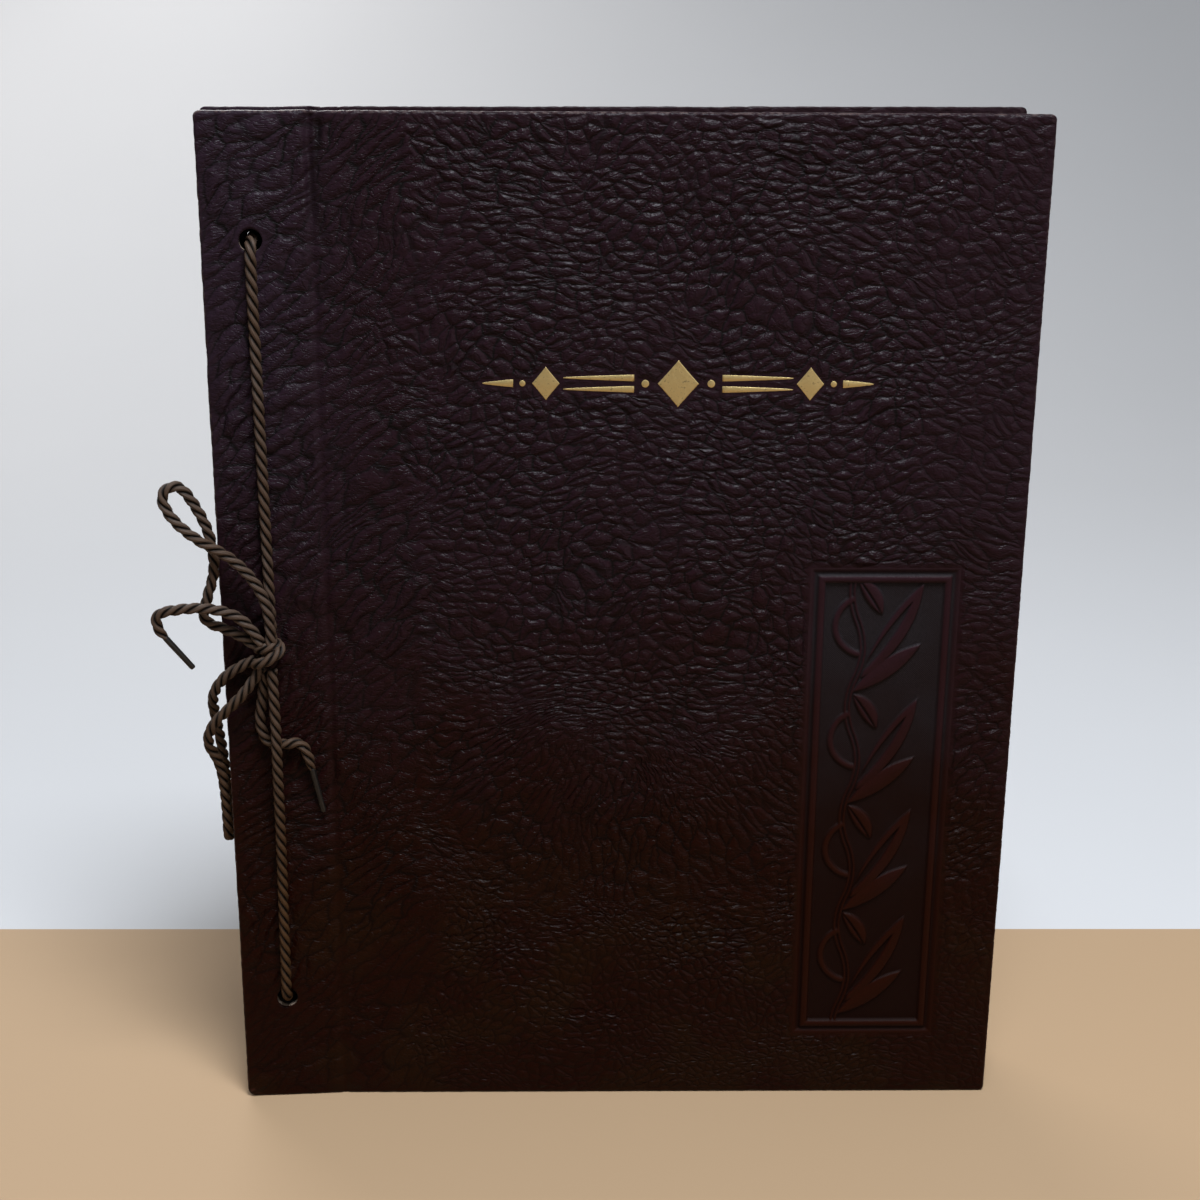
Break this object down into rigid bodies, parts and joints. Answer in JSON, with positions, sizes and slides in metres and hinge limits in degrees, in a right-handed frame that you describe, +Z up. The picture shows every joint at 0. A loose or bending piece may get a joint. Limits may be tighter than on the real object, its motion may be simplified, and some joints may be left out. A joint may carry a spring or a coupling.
{
  "type": "cord-laced book",
  "caption": "Upright book of loose leaves between two hinged leatherette covers, laced with a twisted cord tied in a bow, with a leaf panel embossed on the front.",
  "frame": {"origin": "middle of the foot on which the book stands, measured on the book without its lace", "axes": "+Z up along the spine edge, +X from the spine edge to the fore edge, the front cover faces -Y"},
  "size_m": [0.2339, 0.033, 0.28],
  "materials": {
    "cover_leatherette": "embossed hide grain with a soft sheen",
    "lining_paper": "matt pasted paper",
    "leaf_paper": "uncoated paper",
    "lace_cord": "twisted cord",
    "tip_sheath": "thin sheath"
  },
  "bodies": {
    "spine": {"front_binding_strip": "cover_leatherette", "back_binding_strip": "cover_leatherette", "text_block": "leaf_paper", "lace_run": "lace_cord", "bow_knot": "lace_cord", "bow_upper_loop": "lace_cord", "bow_lower_loop": "lace_cord", "bow_left_tail": "lace_cord", "bow_right_tail": "lace_cord", "left_lace_tip": "tip_sheath", "right_lace_tip": "tip_sheath"},
    "front_cover": {"front_board": "cover_leatherette", "front_lining": "lining_paper"},
    "back_cover": {"back_board": "cover_leatherette", "back_lining": "lining_paper"}
  },
  "joints": [
    {"name": "front_cover_hinge", "type": "hinge", "parent": "spine", "child": "front_cover", "pos_m": [-0.07975, -0.00144, 0.14], "axis": [0, 0, -1], "range_deg": [-3.9, 116]},
    {"name": "back_cover_hinge", "type": "hinge", "parent": "spine", "child": "back_cover", "pos_m": [-0.07975, 0.01416, 0.14], "axis": [0, 0, 1], "range_deg": [0, 120]}
  ]
}
